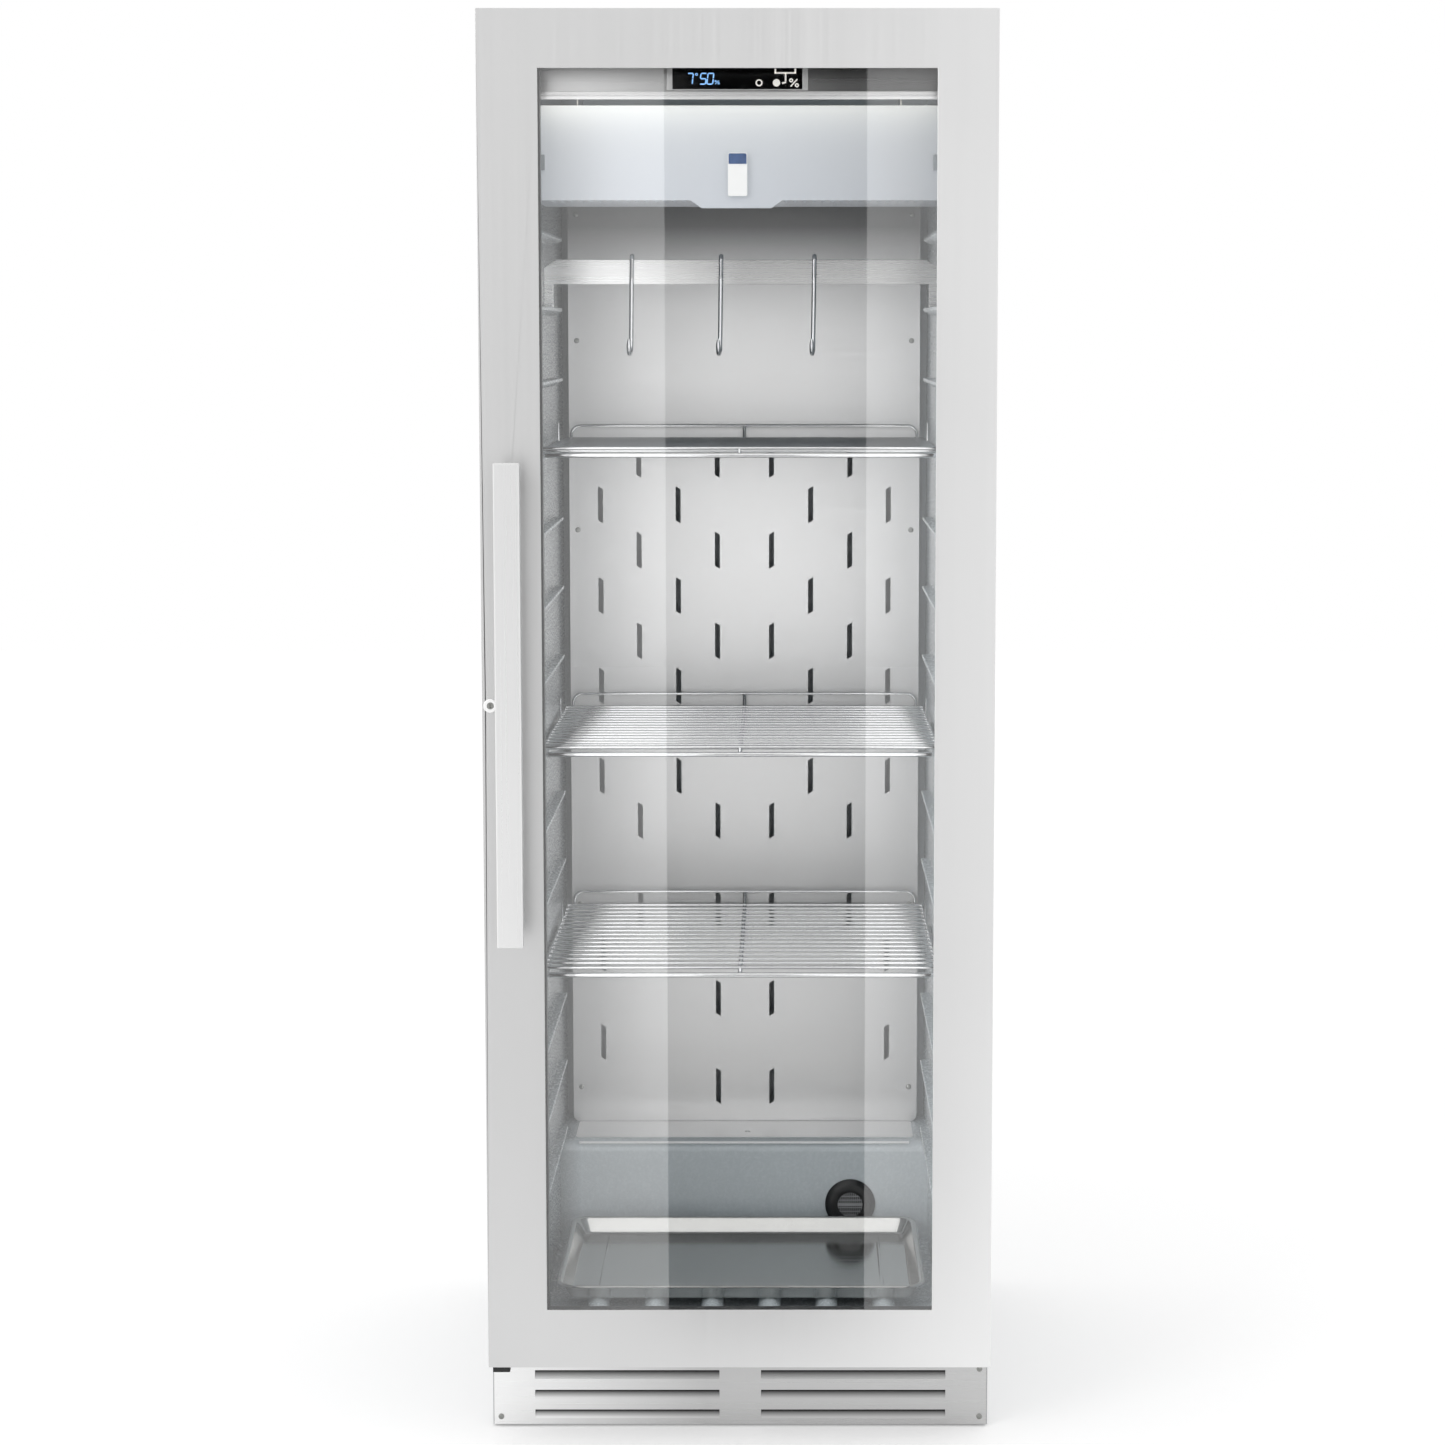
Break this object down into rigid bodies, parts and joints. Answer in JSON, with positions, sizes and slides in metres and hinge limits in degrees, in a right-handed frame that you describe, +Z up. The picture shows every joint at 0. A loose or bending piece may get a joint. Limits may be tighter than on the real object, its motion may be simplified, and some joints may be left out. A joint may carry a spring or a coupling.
{
  "type": "dry aging cabinet",
  "caption": "Tall steel dry aging cabinet with a hinged glass door, wire shelves, hanging rail with hooks, drip tray, control display and built-in cooling.",
  "frame": {"origin": "centre of the bounding box in plan, on the floor under the levelling feet", "axes": "+X to the right seen from the front, where the hinges are; +Y to the back; +Z up"},
  "size_m": [0.595, 0.706, 1.683],
  "materials": {
    "door_steel": "satin",
    "handle_steel": "satin",
    "cabinet_steel": "satin",
    "plinth_steel": "satin",
    "case_paint": "satin",
    "zinc_sheet": "satin",
    "foam": "matte",
    "liner_plastic": "satin",
    "black_plastic": "matte",
    "black_rubber": "matte",
    "clear_glass": "gloss",
    "chrome_wire": "polished",
    "display_black": "gloss",
    "lamp_lens": "gloss",
    "white_plastic": "satin",
    "fin_aluminium": "satin",
    "compressor_paint": "satin",
    "board_laminate": "satin",
    "zinc_steel": "satin",
    "nylon": "satin"
  },
  "bodies": {
    "cabinet": {"left_side_panel": "case_paint", "right_side_panel": "case_paint", "top_panel": "case_paint", "back_panel": "zinc_sheet", "base_plate": "zinc_sheet", "front_frame": "cabinet_steel", "insulation_walls": "foam", "insulation_floor": "foam", "inner_liner": "liner_plastic", "plinth_grille": "plinth_steel", "machine_room_cover": "zinc_sheet", "panel_screws": "zinc_steel", "hinge_brackets": "zinc_steel", "hinge_pins": "zinc_steel", "strike_plate": "zinc_steel", "fascia": "cabinet_steel", "display_bezel": "chrome_wire", "display_screen": "display_black", "fascia_trim": "chrome_wire", "control_housing": "black_plastic", "control_board": "board_laminate", "led_lamp": "lamp_lens", "evaporator_cover": "white_plastic", "cover_clips": "white_plastic", "sensor_housing": "white_plastic", "evaporator_coil": "fin_aluminium", "evaporator_fan_frame": "black_plastic", "rear_duct_panel": "cabinet_steel", "compressor": "compressor_paint", "compressor_mounts": "black_rubber", "condenser": "fin_aluminium", "condenser_fan_frame": "black_plastic", "condensate_tray": "white_plastic", "drain_pipe": "white_plastic", "cable_gland": "black_plastic", "levelling_feet": "black_rubber"},
    "door": {"door_frame": "door_steel", "door_core": "foam", "outer_glass": "clear_glass", "inner_glass": "clear_glass", "glass_spacer": "black_plastic", "door_inner_frame": "black_plastic", "door_gasket": "black_rubber", "handle_bar": "handle_steel", "handle_posts": "handle_steel", "lock_barrel": "chrome_wire", "door_bushes": "nylon", "door_corner_block": "black_plastic"},
    "lock": {"lock_plug": "chrome_wire"},
    "evaporator_fan": {"evaporator_fan_rotor": "black_plastic"},
    "condenser_fan": {"condenser_fan_rotor": "black_plastic"},
    "filter": {"charcoal_filter": "black_plastic"},
    "rail": {"hanging_rail": "cabinet_steel"},
    "hook_left": {"hook_left": "chrome_wire"},
    "hook_middle": {"hook_middle": "chrome_wire"},
    "hook_right": {"hook_right": "chrome_wire"},
    "shelf_upper": {"shelf_upper": "chrome_wire"},
    "shelf_middle": {"shelf_middle": "chrome_wire"},
    "shelf_lower": {"shelf_lower": "chrome_wire"},
    "tray": {"drip_tray": "cabinet_steel"}
  },
  "joints": [
    {"name": "door_hinge", "type": "hinge", "parent": "cabinet", "child": "door", "pos_m": [0.285, -0.28, 0.885], "axis": [0, 0, 1], "range_deg": [0, 110]},
    {"name": "lock_turn", "type": "hinge", "parent": "door", "child": "lock", "pos_m": [-0.2875, -0.303, 0.882], "axis": [0, 1, 0], "range_deg": [0, 90]},
    {"name": "evaporator_fan_spin", "type": "hinge", "parent": "cabinet", "child": "evaporator_fan", "pos_m": [0, -0.02, 1.521], "axis": [0, 1, 0], "continuous": true},
    {"name": "condenser_fan_spin", "type": "hinge", "parent": "cabinet", "child": "condenser_fan", "pos_m": [-0.13, 0.28, 0.078], "axis": [0, 1, 0], "continuous": true},
    {"name": "filter_turn", "type": "hinge", "parent": "cabinet", "child": "filter", "pos_m": [0.14, 0.146, 0.165], "axis": [0, -1, 0], "range_deg": [0, 90]},
    {"name": "rail_slide", "type": "slide", "parent": "cabinet", "child": "rail", "axis": [0, -1, 0], "range_m": [-0.1, 0.12]},
    {"name": "hook_left_slide", "type": "slide", "parent": "rail", "child": "hook_left", "axis": [1, 0, 0], "range_m": [-0.08, 0.04]},
    {"name": "hook_middle_slide", "type": "slide", "parent": "rail", "child": "hook_middle", "axis": [1, 0, 0], "range_m": [-0.04, 0.04]},
    {"name": "hook_right_slide", "type": "slide", "parent": "rail", "child": "hook_right", "axis": [1, 0, 0], "range_m": [-0.04, 0.12]},
    {"name": "shelf_upper_slide", "type": "slide", "parent": "cabinet", "child": "shelf_upper", "axis": [0, -1, 0], "range_m": [0, 0.03]},
    {"name": "shelf_middle_slide", "type": "slide", "parent": "cabinet", "child": "shelf_middle", "axis": [0, -1, 0], "range_m": [0, 0.03]},
    {"name": "shelf_lower_slide", "type": "slide", "parent": "cabinet", "child": "shelf_lower", "axis": [0, -1, 0], "range_m": [0, 0.03]},
    {"name": "tray_slide", "type": "slide", "parent": "cabinet", "child": "tray", "axis": [0, -1, 0], "range_m": [0, 0.035]}
  ]
}
